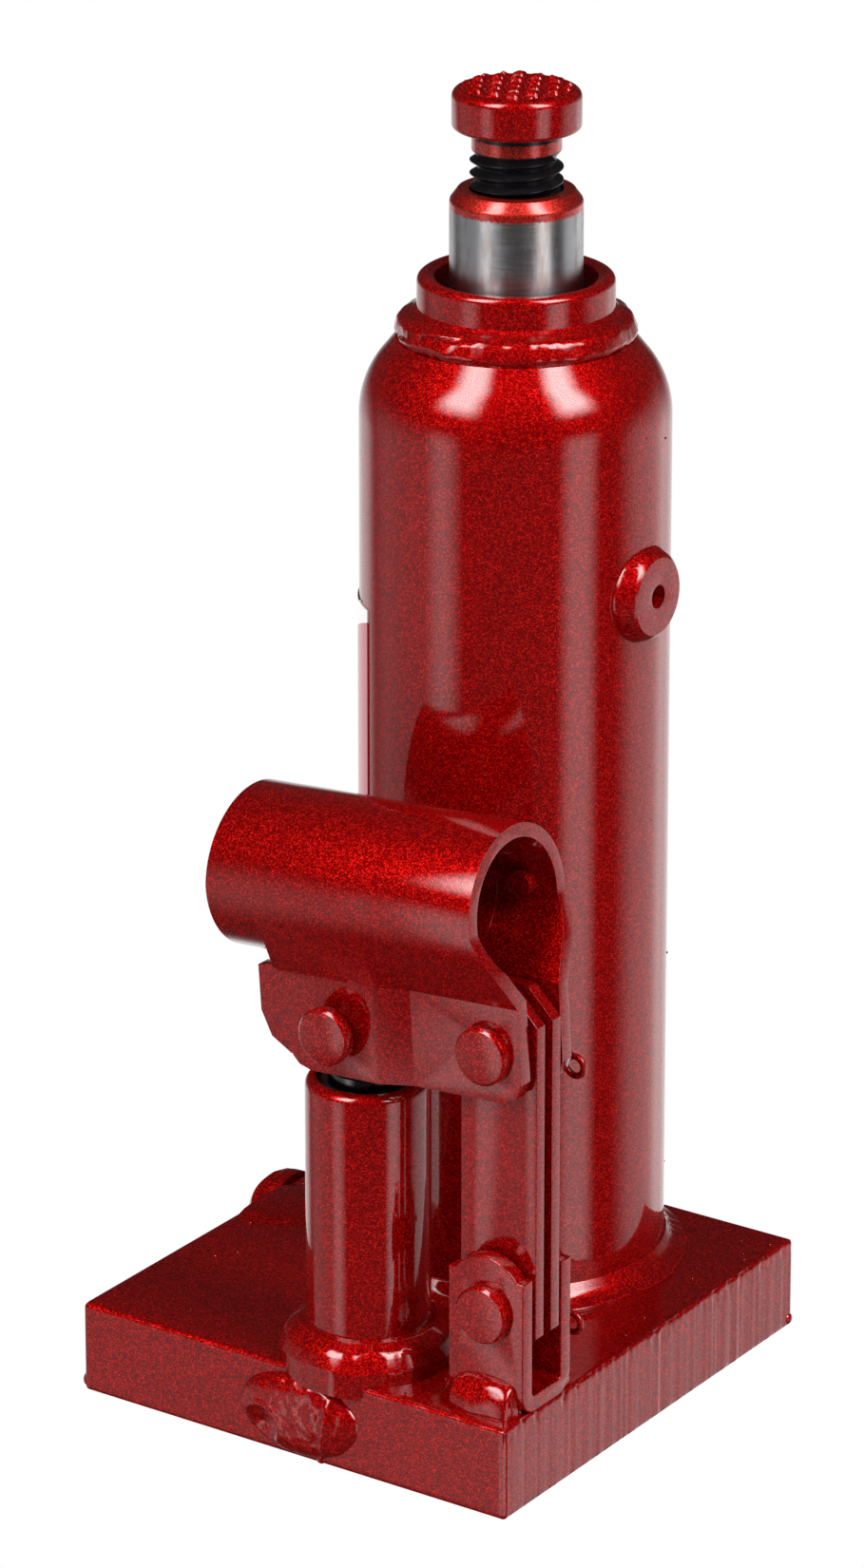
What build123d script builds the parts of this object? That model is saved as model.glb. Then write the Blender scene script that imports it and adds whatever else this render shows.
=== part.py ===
from build123d import *
from math import acos, atan2, cos, degrees, radians, sin, sqrt
import os

# A small welded hydraulic bottle jack. Millimetres, +Z up. The origin is on the floor, on the axis of
# the lifting ram. The pump, its lever and the links stand in front of the ram, at -Y, and the lever's
# open end for the pump handle points to -X.

# Base plate
PLATE_LEFT, PLATE_RIGHT = -41.8, 35.5
PLATE_FRONT, PLATE_BACK = -54.8, 25.8
PLATE_TOP = 14.5
PLATE_EDGE = 0.7
DOME_RADIUS, DOME_HEIGHT, DOME_X, DOME_Y = 7.8, 1.1, -38.0, -9.0

# Reservoir tube and the pressure cylinder inside it
TUBE_RADIUS, TUBE_WALL = 23.5, 2.5
TUBE_STRAIGHT_TOP, TUBE_TOP = 149.6, 161.4
TUBE_NECK_RADIUS = 18.0
CYLINDER_RADIUS, CYLINDER_BORE = 14.85, 12.2
CYLINDER_FOOT, CYLINDER_TOP = 12.3, 171.1
SEAT_FLOOR = 11.5
BUSH_LOW, BUSH_HIGH = 140.0, 160.4
WIPER_HIGH = 165.8
CLIP_THICKNESS, CLIP_RADIUS = 1.2, 13.0

# Ram, piston, extension screw and saddle
RAM_RADIUS, RAM_LOW, RAM_TOP = 10.0, 24.0, 184.1
RAM_HOLLOW, RAM_THREAD_LOW = 7.9, 171.0
PISTON_LOW, PISTON_RADIUS = 17.0, 12.13
SCREW_RADIUS, SCREW_LOW, NECK_LOW = 7.0, 124.0, 190.4
NECK_RADIUS = 6.7
SADDLE_RADIUS, SADDLE_LOW, SADDLE_TOP = 9.7, 193.2, 199.5
LUMP_HEIGHT, LUMP_PITCH, LUMP_SIZE = 0.9, 3.3, 2.2
RUNNING_GAP = 0.05

# Pump, lever and links, all on one vertical plane in front of the ram
LEVER_Y = -43.7
PUMP_X, PUMP_RADIUS, PUMP_BORE, PUMP_TOP = 3.5, 9.35, 6.05, 59.0
PUMP_FOOT = 9.0
PLUNGER_PIN_X, PLUNGER_PIN_Z = 3.7, 68.7
EYE_HALF_WIDTH, EYE_SLOT = 4.6, 0.6
LINK_X, LINK_FOOT_Z, LINK_TOP_Z = 28.8, 29.7, 70.3
LINK_WIDTH, LINK_PLATE, LINK_GAP, LINK_END, LINK_CHAMFER = 13.2, 2.1, 1.9, 8.5, 4.3
PIN_RADIUS, PIN_HEAD_RADIUS, PIN_HEAD = 3.0, 4.4, 1.7
SPLIT_WIRE, SPLIT_TURN, SPLIT_EYE, SPLIT_REACH = 1.0, 137.0, 1.5, 8.0

# Handle socket, measured from the link pin along and across its own axis
SOCKET_BORE, SOCKET_SHEET, SOCKET_RISE = 10.0, 2.4, 20.5
SOCKET_LEFT, SOCKET_RIGHT = -44.4, 6.0
MOUTH_BORE, MOUTH_START, STOP_X = 10.3, -8.0, -3.2
WIDE_GAP, NARROW_GAP = 11.8, 8.4
STEP_LEFT, STEP_RIGHT = -17.8, -12.8
FLANGE_TOP, FLANGE_BOTTOM, FLANGE_LEFT = 8.3, -7.1, -36.0
NEAR_LEFT, LOBE_LEFT, LOBE_BOTTOM = -33.8, -49.6, -11.7

# Link bracket
BRACKET_GAP, BRACKET_SHEET, BRACKET_WIDTH, BRACKET_TOP = 7.6, 2.5, 13.1, 38.4
BRACKET_CORNER = 3.2

# Oil channels, valves and plugs in the base
CHANNEL_Z, CHANNEL_RADIUS, PASSAGE_RADIUS = 5.8, 2.4, 1.2
SUCTION_X, DELIVERY_X, SUCTION_WELL_Y = -1.4, 6.4, -17.9
VALVE_Y, VALVE_Z, VALVE_RADIUS, VALVE_SEAT_X = 0.5, 8.4, 4.0, -14.6
BALL_RADIUS = 2.0
PLUG_Z, PLUG_RADIUS, PLUG_FACE, PLUG_FACE_RADIUS = 125.1, 7.6, 25.6, 6.2
LABEL_LOW, LABEL_HIGH, LABEL_SKIN = 60.6, 120.8, 0.2


def post(radius, low, high, x=0.0, y=0.0):
    """An upright round bar."""
    return Pos(x, y, low) * Cylinder(radius, high - low, align=(Align.CENTER, Align.CENTER, Align.MIN))


def ring(outer, inner, low, high, x=0.0, y=0.0):
    """An upright round tube."""
    return post(outer, low, high, x, y) - post(inner, low - 1, high + 1, x, y)


def bar_x(radius, start, end, y, z):
    """A round bar along X."""
    upright = Cylinder(radius, end - start, align=(Align.CENTER, Align.CENTER, Align.MIN))
    return Pos(start, y, z) * Rot(0, 90, 0) * upright


def bar_y(radius, start, end, x, z):
    """A round bar along Y."""
    upright = Cylinder(radius, end - start, align=(Align.CENTER, Align.CENTER, Align.MIN))
    return Pos(x, start, z) * Rot(-90, 0, 0) * upright


def block(x, y, z):
    """A box between two limits each way."""
    size = (x[1] - x[0], y[1] - y[0], z[1] - z[0])
    return Pos((x[0] + x[1]) / 2, (y[0] + y[1]) / 2, (z[0] + z[1]) / 2) * Box(*size)


def turned(points):
    """A body of revolution about Z, from (radius, height) points."""
    return revolve(Plane.XZ * make_face(Polyline(*points, close=True)), Axis.Z)


def turned_at(x, y, points):
    """A body of revolution about an upright axis at a given place."""
    return Pos(x, y, 0) * turned(points)


def side_slab(points, low_y, high_y):
    """An outline in X and Z, made thick along Y."""
    face = Plane.XZ.offset(-low_y) * make_face(Polyline(*points, close=True))
    return extrude(face, -(high_y - low_y))


# ---------------------------------------------------------------- base plate and its weld plug

def base_plate():
    plate = block((PLATE_LEFT, PLATE_RIGHT), (PLATE_FRONT, PLATE_BACK), (0, PLATE_TOP))
    plate = fillet(plate.edges().filter_by(Axis.Z), PLATE_EDGE)
    plate = chamfer(plate.faces().sort_by(Axis.Z)[-1].edges(), PLATE_EDGE / 2)
    sphere_radius = (DOME_RADIUS ** 2 + DOME_HEIGHT ** 2) / (2 * DOME_HEIGHT)
    dome = Pos(DOME_X, DOME_Y, PLATE_TOP + DOME_HEIGHT - sphere_radius) * Sphere(sphere_radius)
    dome &= block((PLATE_LEFT + 1, DOME_X + 20), (DOME_Y - 20, DOME_Y + 20), (PLATE_TOP - 0.5, PLATE_TOP + 5))
    plate += dome
    plate -= post(CYLINDER_RADIUS + RUNNING_GAP, SEAT_FLOOR, PLATE_TOP + 1)
    plate -= post(PUMP_RADIUS + RUNNING_GAP, PUMP_FOOT, PLATE_TOP + 1, PUMP_X, LEVER_Y)
    plate -= bar_y(CHANNEL_RADIUS, PLATE_FRONT - 1, -28.0, SUCTION_X, CHANNEL_Z)
    plate -= bar_y(PASSAGE_RADIUS, -29.0, SUCTION_WELL_Y, SUCTION_X, CHANNEL_Z)
    plate -= bar_y(CHANNEL_RADIUS, PLATE_FRONT - 1, -12.0, DELIVERY_X, CHANNEL_Z)
    plate -= bar_y(PASSAGE_RADIUS, -13.0, VALVE_Y, DELIVERY_X, CHANNEL_Z)
    for x in (SUCTION_X, DELIVERY_X):
        plate -= post(PASSAGE_RADIUS, CHANNEL_Z, PUMP_FOOT + 1, x, LEVER_Y)
    plate -= post(PASSAGE_RADIUS, CHANNEL_Z, PLATE_TOP + 1, SUCTION_X, SUCTION_WELL_Y)
    plate -= post(PASSAGE_RADIUS, CHANNEL_Z, SEAT_FLOOR + 1, DELIVERY_X, VALVE_Y)
    plate -= bar_x(VALVE_RADIUS + RUNNING_GAP, PLATE_LEFT - 1, VALVE_SEAT_X, VALVE_Y, VALVE_Z)
    plate -= bar_x(PASSAGE_RADIUS, VALVE_SEAT_X - 1, DELIVERY_X, VALVE_Y, VALVE_Z)
    plate -= post(PASSAGE_RADIUS, VALVE_Z, PLATE_TOP + 1, -18.2, VALVE_Y)
    return plate


def channel_weld_plug():
    """Weld metal over the two drilled channels, with a short stub in each."""
    centre_x, centre_z, half_width, half_height, proud = -1.4, 7.1, 10.6, 6.5, 3.2
    blob = Pos(centre_x, PLATE_FRONT, centre_z) * scale(Sphere(1), by=(half_width, proud, half_height))
    blob &= block((-20, 20), (PLATE_FRONT - 10, PLATE_FRONT), (0.3, 20))
    for x in (SUCTION_X, DELIVERY_X):
        blob += bar_y(CHANNEL_RADIUS, PLATE_FRONT - 1, PLATE_FRONT + 3, x, CHANNEL_Z)
    return blob


# ---------------------------------------------------------------- reservoir, cylinder and ram

def reservoir_tube():
    outside = [(TUBE_RADIUS, PLATE_TOP), (TUBE_RADIUS, TUBE_STRAIGHT_TOP), (22.8, TUBE_TOP - 7.2)]
    outside += [(21.5, TUBE_TOP - 4.2), (19.4, TUBE_TOP - 1.2), (TUBE_NECK_RADIUS, TUBE_TOP)]
    neck, bore = CYLINDER_RADIUS + RUNNING_GAP, TUBE_RADIUS - TUBE_WALL
    inside = [(neck, TUBE_TOP), (neck, TUBE_TOP - 3.2), (17.6, TUBE_TOP - 3.4), (19.4, TUBE_TOP - 6.1)]
    inside += [(20.4, TUBE_TOP - 8.6), (bore, TUBE_STRAIGHT_TOP - 0.8), (bore, PLATE_TOP)]
    return turned(outside + inside) - bar_x(3.4, 15, 30, 0, PLUG_Z)


def reservoir_weld():
    return turned([(TUBE_RADIUS, PLATE_TOP), (TUBE_RADIUS + 3.9, PLATE_TOP), (TUBE_RADIUS + 3.5, PLATE_TOP + 0.7),
                   (TUBE_RADIUS + 1.5, PLATE_TOP + 1.5), (TUBE_RADIUS + 0.5, PLATE_TOP + 2.8),
                   (TUBE_RADIUS, PLATE_TOP + 3.4)])


def collar_weld():
    return turned([(CYLINDER_RADIUS + RUNNING_GAP, TUBE_TOP), (TUBE_NECK_RADIUS, TUBE_TOP),
                   (18.3, TUBE_TOP + 1.2), (17.8, TUBE_TOP + 2.8), (16.6, TUBE_TOP + 4.1),
                   (CYLINDER_RADIUS + RUNNING_GAP, TUBE_TOP + 5.0)])


def pressure_cylinder():
    body = turned([(CYLINDER_BORE, CYLINDER_FOOT), (CYLINDER_RADIUS, CYLINDER_FOOT),
                   (CYLINDER_RADIUS, CYLINDER_TOP - 1.0), (14.5, CYLINDER_TOP - 0.3), (13.9, CYLINDER_TOP),
                   (12.9, CYLINDER_TOP), (CYLINDER_BORE, CYLINDER_TOP - 0.6)])
    return body - ring(CLIP_RADIUS, CYLINDER_BORE - 1, WIPER_HIGH, WIPER_HIGH + CLIP_THICKNESS)


def retaining_clip():
    clip = ring(CLIP_RADIUS, 11.2, WIPER_HIGH, WIPER_HIGH + CLIP_THICKNESS)
    return clip - block((0, 20), (-2, 2), (WIPER_HIGH - 1, WIPER_HIGH + 5))


def ram():
    body = turned([(RAM_HOLLOW, RAM_LOW), (RAM_RADIUS, RAM_LOW), (RAM_RADIUS, RAM_TOP - 2.2), (9.6, RAM_TOP - 1.0),
                   (9.0, RAM_TOP - 0.2), (8.6, RAM_TOP), (SCREW_RADIUS + RUNNING_GAP, RAM_TOP),
                   (SCREW_RADIUS + RUNNING_GAP, RAM_THREAD_LOW), (RAM_HOLLOW, RAM_THREAD_LOW)])
    return body


def piston_head():
    seal_low, seal_high, seal_inner = PISTON_LOW + 1.8, PISTON_LOW + 5.2, 9.4
    return turned([(0, PISTON_LOW), (PISTON_RADIUS - 1, PISTON_LOW), (PISTON_RADIUS, PISTON_LOW + 1),
                   (PISTON_RADIUS, seal_low), (seal_inner, seal_low), (seal_inner, seal_high),
                   (PISTON_RADIUS, seal_high), (PISTON_RADIUS, RAM_LOW), (RAM_HOLLOW, RAM_LOW),
                   (RAM_HOLLOW, RAM_LOW + 9), (0, RAM_LOW + 9)])


def screw_stop_ring():
    full = ring(RAM_HOLLOW - 0.3, 6.25, SCREW_LOW + 2.1, SCREW_LOW + 3.5)
    return full - block((0, 10), (-1.5, 1.5), (SCREW_LOW, SCREW_LOW + 6))


def extension_screw():
    """Threaded bar with a round saddle in one piece. The groove near its foot takes the stop ring."""
    groove = 6.2
    body = turned([(0, SCREW_LOW), (groove, SCREW_LOW), (SCREW_RADIUS, SCREW_LOW + 0.9),
                   (SCREW_RADIUS, SCREW_LOW + 2), (groove, SCREW_LOW + 2), (groove, SCREW_LOW + 3.6),
                   (SCREW_RADIUS, SCREW_LOW + 3.6), (SCREW_RADIUS, NECK_LOW),
                   (NECK_RADIUS, NECK_LOW + 0.3), (NECK_RADIUS, SADDLE_LOW), (8.9, SADDLE_LOW),
                   (SADDLE_RADIUS, SADDLE_LOW + 0.8), (SADDLE_RADIUS, SADDLE_TOP - 1.3),
                   (9.3, SADDLE_TOP - 0.4), (8.6, SADDLE_TOP), (0, SADDLE_TOP)])
    reach = SADDLE_RADIUS - 0.7
    for row in range(-2, 3):
        for column in range(-2, 3):
            x = (column + 0.5 * (row % 2)) * LUMP_PITCH
            y = row * LUMP_PITCH
            if sqrt(x * x + y * y) < reach - LUMP_SIZE / 2:
                lump = Pos(x, y, SADDLE_TOP) * Rot(0, 0, 45) * Box(LUMP_SIZE, LUMP_SIZE, 2 * LUMP_HEIGHT)
                body += lump
    return body


# ---------------------------------------------------------------- pump

def pump_cylinder():
    return turned_at(PUMP_X, LEVER_Y, [
        (PUMP_BORE, PUMP_FOOT + 0.6), (PUMP_RADIUS, PUMP_FOOT + 0.6), (PUMP_RADIUS, PUMP_TOP - 1.3),
        (9.0, PUMP_TOP - 0.5), (8.3, PUMP_TOP), (7.6, PUMP_TOP), (7.6, PUMP_TOP - 3.6), (PUMP_BORE, PUMP_TOP - 3.6)])


def pump_cylinder_weld():
    return turned_at(PUMP_X, LEVER_Y, [
        (PUMP_RADIUS, PLATE_TOP), (13.4, PLATE_TOP), (13.6, PLATE_TOP + 1.3), (12.9, PLATE_TOP + 3.2),
        (11.6, PLATE_TOP + 5.0), (10.2, PLATE_TOP + 5.9), (PUMP_RADIUS, PLATE_TOP + 6.1)])


def pump_plunger():
    """Round plunger with a flattened eye. The pin's hole is slotted, so the eye clears the lever's arc."""
    low, seal_inner = PUMP_FOOT + 2.4, 4.7
    body = turned_at(PUMP_X, LEVER_Y, [
        (0, low), (5.2, low), (PUMP_BORE - RUNNING_GAP, low + 0.8), (PUMP_BORE - RUNNING_GAP, low + 2.2),
        (seal_inner, low + 2.2), (seal_inner, low + 4.4), (PUMP_BORE - RUNNING_GAP, low + 4.4),
        (PUMP_BORE - RUNNING_GAP, PLUNGER_PIN_Z), (0, PLUNGER_PIN_Z)])
    crown = bar_y(PUMP_BORE - RUNNING_GAP, LEVER_Y - 7, LEVER_Y + 7, PUMP_X, PLUNGER_PIN_Z)
    keep = post(PUMP_BORE - RUNNING_GAP, PLUNGER_PIN_Z - 1, PLUNGER_PIN_Z + 8, PUMP_X, LEVER_Y)
    body += crown & keep
    for side in (-1, 1):
        near = LEVER_Y + side * EYE_HALF_WIDTH
        far = LEVER_Y + side * 8
        body -= block((PUMP_X - 8, PUMP_X + 8), (min(near, far), max(near, far)), (PUMP_TOP + 1.2, 90))
    for shift in (-EYE_SLOT, EYE_SLOT):
        body -= bar_y(PIN_RADIUS + 0.35, LEVER_Y - 8, LEVER_Y + 8, PUMP_X + shift, PLUNGER_PIN_Z)
    slot_x = (PUMP_X - EYE_SLOT, PUMP_X + EYE_SLOT)
    slot_z = (PLUNGER_PIN_Z - PIN_RADIUS - 0.35, PLUNGER_PIN_Z + PIN_RADIUS + 0.35)
    return body - block(slot_x, (LEVER_Y - 8, LEVER_Y + 8), slot_z)


# ---------------------------------------------------------------- lever: socket, links, bracket, pins

def socket_section(gap, bottom):
    """Half the socket's wall between the bore and the gap of its flanges, mirrored, as a face in Y and Z."""
    half = gap / 2
    reach = sqrt(half ** 2 + (SOCKET_RISE - FLANGE_TOP) ** 2)
    tangent = atan2(FLANGE_TOP - SOCKET_RISE, half) + acos(SOCKET_BORE / reach)
    touch_y = SOCKET_BORE * cos(tangent)
    touch_z = SOCKET_RISE + SOCKET_BORE * sin(tangent)
    throat = Polyline((-half, bottom - 5), (half, bottom - 5), (half, FLANGE_TOP), (touch_y, touch_z),
                      (0, SOCKET_RISE + 1), (-touch_y, touch_z), (-half, FLANGE_TOP), close=True)
    inner = make_face(throat) + Pos(0, SOCKET_RISE) * Circle(SOCKET_BORE)
    outer = offset(inner, SOCKET_SHEET)
    wall = outer - inner
    return wall - Pos(0, bottom - 25) * Rectangle(80, 50)


def section_run(section, start, end):
    return extrude(Plane.YZ.offset(start) * section, end - start)


def socket_blank():
    """The whole bent sheet, with the socket's axis along X and the link pin at the origin."""
    wide = socket_section(WIDE_GAP, FLANGE_BOTTOM)
    narrow = socket_section(NARROW_GAP, FLANGE_BOTTOM)
    lobe = socket_section(WIDE_GAP, LOBE_BOTTOM)
    body = section_run(wide, FLANGE_LEFT, STEP_LEFT)
    body += section_run(narrow, STEP_RIGHT, SOCKET_RIGHT + 4)
    body += loft([Plane.YZ.offset(STEP_LEFT) * wide.face(), Plane.YZ.offset(STEP_RIGHT) * narrow.face()])
    far_side = block((-60, FLANGE_LEFT + 2), (0, 20), (-20, 20))
    body += section_run(lobe, LOBE_LEFT, FLANGE_LEFT + 2) & far_side
    # the rolled end is a hair thinner outside, so that its wall runs inside the rest where they join
    hair = 0.03
    rolled = Pos(0, SOCKET_RISE) * (Circle(SOCKET_BORE + SOCKET_SHEET - hair) - Circle(SOCKET_BORE))
    rolled -= Pos(0, SOCKET_RISE - SOCKET_BORE) * Rectangle(7, 8)
    return body, section_run(rolled, SOCKET_LEFT - 3, FLANGE_LEFT + 1)


def lever_span():
    """The distance and the slope between the link pin and the plunger pin, which lie along the socket."""
    across, down = LINK_X - PLUNGER_PIN_X, LINK_TOP_Z - PLUNGER_PIN_Z
    return sqrt(across ** 2 + down ** 2), degrees(atan2(down, across))


def handle_socket():
    flanges, rolled = socket_blank()
    span, slope = lever_span()
    # the far flange's lobe is free of the rolled end: a relief runs between them
    relief = side_slab([(-60, 9.3), (-39.9, 9.3), (-36.4, 7.8), (-36.4, 4.5), (-40.9, 2.7), (-60, 0.2)], -20, 20)
    lobe_tip = side_slab([(-60, 20), (-49.7, 20), (-49.5, -5.6), (-47.8, -9.5), (-44.5, LOBE_BOTTOM + 0.1),
                          (-44.5, -30), (-60, -30)], -20, 20)
    lobe_foot = side_slab([(-39.0, LOBE_BOTTOM - 0.1), (-35.9, -10.0), (-34.0, FLANGE_BOTTOM),
                           (-20, FLANGE_BOTTOM), (-20, -30), (-39.0, -30)], -20, 20)
    flanges -= relief
    flanges -= side_slab([(-60, 9.3), (-60, 40), (FLANGE_LEFT, 40), (FLANGE_LEFT, 9.3)], -20, 20)
    flanges -= lobe_tip
    flanges -= lobe_foot
    body = flanges + rolled
    # the near flange leaves the rolled end in an arc, and its lower left corner is rounded
    body -= side_slab([(FLANGE_LEFT - 0.02, -20), (FLANGE_LEFT - 0.02, 8.1), (NEAR_LEFT - 1.1, 7.4),
                       (NEAR_LEFT - 0.3, 6.3), (NEAR_LEFT, 5.0), (NEAR_LEFT, FLANGE_BOTTOM + 3.8),
                       (NEAR_LEFT + 0.5, FLANGE_BOTTOM + 1.9), (NEAR_LEFT + 1.6, FLANGE_BOTTOM + 0.7),
                       (NEAR_LEFT + 3.4, FLANGE_BOTTOM + 0.1), (NEAR_LEFT + 4.8, FLANGE_BOTTOM - 0.01),
                       (NEAR_LEFT + 4.8, -20)], -20, 0)
    # the mouth is sheared back from the flanges to the crown, and the rolled end leans a little
    body -= side_slab([(SOCKET_RIGHT, -20), (SOCKET_RIGHT, FLANGE_TOP), (SOCKET_RIGHT - 1.2, SOCKET_RISE - 7.0),
                       (SOCKET_RIGHT - 3.6, SOCKET_RISE - 1.0), (SOCKET_RIGHT - 4.4, 50), (60, 50), (60, -20)],
                      -20, 20)
    body -= side_slab([(SOCKET_RIGHT - 3.4, FLANGE_BOTTOM - 0.1), (SOCKET_RIGHT - 1.1, FLANGE_BOTTOM + 0.9),
                       (SOCKET_RIGHT - 0.1, FLANGE_BOTTOM + 3.2), (60, FLANGE_BOTTOM + 3.2),
                       (60, FLANGE_BOTTOM - 0.1)], -20, 20)
    body -= side_slab([(SOCKET_LEFT, 5), (SOCKET_LEFT, SOCKET_RISE), (SOCKET_LEFT + 2.0, 50), (-80, 50),
                       (-80, 5)], -20, 20)
    # past the stop the bore opens a little; the stop itself is punched in from the far side
    body -= bar_x(MOUTH_BORE, MOUTH_START, SOCKET_RIGHT + 5, 0, SOCKET_RISE)
    body += bar_y(2.0, 8.4, MOUTH_BORE + 0.5, STOP_X, SOCKET_RISE)
    for x in (0, -span):
        body -= bar_y(PIN_RADIUS + 0.02, -20, 20, x, 0)
    return Pos(LINK_X, LEVER_Y, LINK_TOP_Z) * Rot(0, -slope, 0) * body


def link_plate(side):
    half = LINK_WIDTH / 2
    low, high = LINK_FOOT_Z - LINK_END + 0.3, LINK_TOP_Z + LINK_END
    cut = LINK_CHAMFER
    outline = [(LINK_X - half + cut, low), (LINK_X + half - cut, low), (LINK_X + half, low + cut),
               (LINK_X + half, high - cut), (LINK_X + half - cut, high), (LINK_X - half + cut, high),
               (LINK_X - half, high - cut), (LINK_X - half, low + cut)]
    inner = LEVER_Y + side * LINK_GAP / 2
    outer = LEVER_Y + side * (LINK_GAP / 2 + LINK_PLATE)
    plate = side_slab(outline, min(inner, outer), max(inner, outer))
    for z in (LINK_FOOT_Z, LINK_TOP_Z):
        plate -= bar_y(PIN_RADIUS + 0.06, LEVER_Y - 6, LEVER_Y + 6, LINK_X, z)
    return plate


def bracket_block():
    """The bracket's outside as one block with rounded lower edges."""
    half_out = BRACKET_GAP / 2 + BRACKET_SHEET
    limits_x = (LINK_X - BRACKET_WIDTH / 2, LINK_X + BRACKET_WIDTH / 2)
    outer = block(limits_x, (LEVER_Y - half_out, LEVER_Y + half_out), (PLATE_TOP, 60))
    return fillet(outer.faces().sort_by(Axis.Z)[0].edges().filter_by(Axis.X), BRACKET_CORNER)


def link_bracket():
    half_gap = BRACKET_GAP / 2
    inner = block((LINK_X - 10, LINK_X + 10), (LEVER_Y - half_gap, LEVER_Y + half_gap),
                  (PLATE_TOP + BRACKET_SHEET, 61))
    inner = fillet(inner.faces().sort_by(Axis.Z)[0].edges().filter_by(Axis.X), BRACKET_CORNER - BRACKET_SHEET)
    strap = bracket_block() - inner
    rise, half = 2.8, BRACKET_WIDTH / 2 - 1.2
    arc_radius = (half ** 2 + rise ** 2) / (2 * rise)
    crown = bar_y(arc_radius, LEVER_Y - 10, LEVER_Y + 10, LINK_X, BRACKET_TOP - arc_radius)
    crown += block((LINK_X - 20, LINK_X + 20), (LEVER_Y - 10, LEVER_Y + 10), (0, BRACKET_TOP - rise))
    strap &= crown
    return strap - bar_y(PIN_RADIUS + 0.02, LEVER_Y - 10, LEVER_Y + 10, LINK_X, LINK_FOOT_Z)


def bracket_weld():
    half_out = BRACKET_GAP / 2 + BRACKET_SHEET
    low_x, high_x = LINK_X - BRACKET_WIDTH / 2 + 0.4, LINK_X + BRACKET_WIDTH / 2 - 0.4
    both = Part()
    for side in (-1, 1):
        points = [(half_out - 2.6, 0), (half_out + 3.4, 0), (half_out + 3.0, 1.6), (half_out + 1.4, 4.2),
                  (half_out, 6.0), (half_out - 2.6, 6.0)]
        face = make_face(Polyline(*[(LEVER_Y + side * y, PLATE_TOP + z) for y, z in points], close=True))
        both += extrude(Plane.YZ.offset(low_x) * face, high_x - low_x)
    return both - bracket_block()


def clevis_pin(near, far, x, z):
    """Headed pin along Y with a cross hole near its far end."""
    pin = bar_y(PIN_RADIUS, near, far, x, z)
    head = bar_y(PIN_HEAD_RADIUS, near - PIN_HEAD, near, x, z)
    head = chamfer(head.faces().sort_by(Axis.Y)[0].edges(), 0.4)
    pin = chamfer(pin.faces().sort_by(Axis.Y)[-1].edges(), 0.5) + head
    return pin - split_hole(far, x, z)


def split_hole(far, x, z):
    return Pos(x, far - 1.9, z) * Rot(0, SPLIT_TURN, 0) * Cylinder(0.95, 12)


def split_pin(far, x, z):
    """Doubled wire through the pin's cross hole: an eye on one side, two bent legs on the other."""
    reach = PIN_RADIUS + 0.3
    neck_length = SPLIT_REACH - SPLIT_EYE - reach + 0.3
    legs = Cylinder(0.9, 2 * reach + 1.0)
    loop = Pos(0, 0, SPLIT_REACH) * Rot(90, 0, 0) * Torus(SPLIT_EYE, SPLIT_WIRE / 2)
    neck = Pos(0, 0, reach - 0.1) * Cylinder(0.9, neck_length, align=(Align.CENTER, Align.CENTER, Align.MIN))
    body = legs + neck + loop
    for side in (-1, 1):
        leg = Cylinder(SPLIT_WIRE / 2, 4.2, align=(Align.CENTER, Align.CENTER, Align.MAX))
        body += Pos(0, 0, -reach - 0.2) * Rot(0, side * 38, 0) * leg
    return Pos(x, far - 1.9, z) * Rot(0, SPLIT_TURN, 0) * body


def pins():
    """Each pin's name with the face its head bears on, its far end and its centre."""
    bracket_face = BRACKET_GAP / 2 + BRACKET_SHEET
    narrow_face = NARROW_GAP / 2 + SOCKET_SHEET
    wide_face = WIDE_GAP / 2 + SOCKET_SHEET
    return {
        "bracket_pin": (LEVER_Y - bracket_face, LEVER_Y + bracket_face + 4.0, LINK_X, LINK_FOOT_Z),
        "link_pin": (LEVER_Y - narrow_face, LEVER_Y + narrow_face + 4.0, LINK_X, LINK_TOP_Z),
        "plunger_pin": (LEVER_Y - wide_face - 2.0, LEVER_Y + wide_face + 3.6, PLUNGER_PIN_X, PLUNGER_PIN_Z),
    }


# ---------------------------------------------------------------- valves, plugs and seals

def coil_spring(length, coil_radius, wire, turns):
    """A short coil spring along +Y, from the origin."""
    path = Helix(length / turns, length, coil_radius)
    profile = Plane(origin=path @ 0, z_dir=path % 0) * Circle(wire)
    return Rot(-90, 0, 0) * sweep(profile, path, is_frenet=True)


def ball(x, y, z):
    return Pos(x, y, z) * Sphere(BALL_RADIUS)


def seat_offset():
    """How far a ball's centre stands from the edge of its seat."""
    return sqrt(BALL_RADIUS ** 2 - PASSAGE_RADIUS ** 2)


def release_valve_screw():
    """Threaded spindle with a rounded knob that has two flats for the slotted end of the pump handle."""
    nose = VALVE_SEAT_X - seat_offset() - BALL_RADIUS - 0.05
    knob_root = PLATE_LEFT - 0.3
    reach, radius = 6.8, 6.9
    profile = [(0, 0), (0, reach), (2.2, reach), (4.2, reach - 0.7), (5.8, reach - 2.1), (6.7, reach - 3.9),
               (radius, 1.6), (radius, 0)]
    knob = Pos(knob_root, VALVE_Y, VALVE_Z) * Rot(0, -90, 0) * turned(profile)
    low, high = VALVE_Y - 9, VALVE_Y + 9
    for side in (-1, 1):
        flat = block((knob_root - 12, knob_root - 2.4), (low, high), (4.6, 12))
        knob -= Pos(0, VALVE_Y, VALVE_Z) * Rot(28 + (90 + side * 90), 0, 0) * Pos(0, -VALVE_Y, 0) * flat
    spindle = bar_x(VALVE_RADIUS, knob_root, -21.5, VALVE_Y, VALVE_Z)
    spindle -= bar_x(VALVE_RADIUS + 1, -33.0, -31.6, VALVE_Y, VALVE_Z) - bar_x(2.9, -34, -30, VALVE_Y, VALVE_Z)
    return knob + spindle + bar_x(1.8, -22, nose, VALVE_Y, VALVE_Z)


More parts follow.
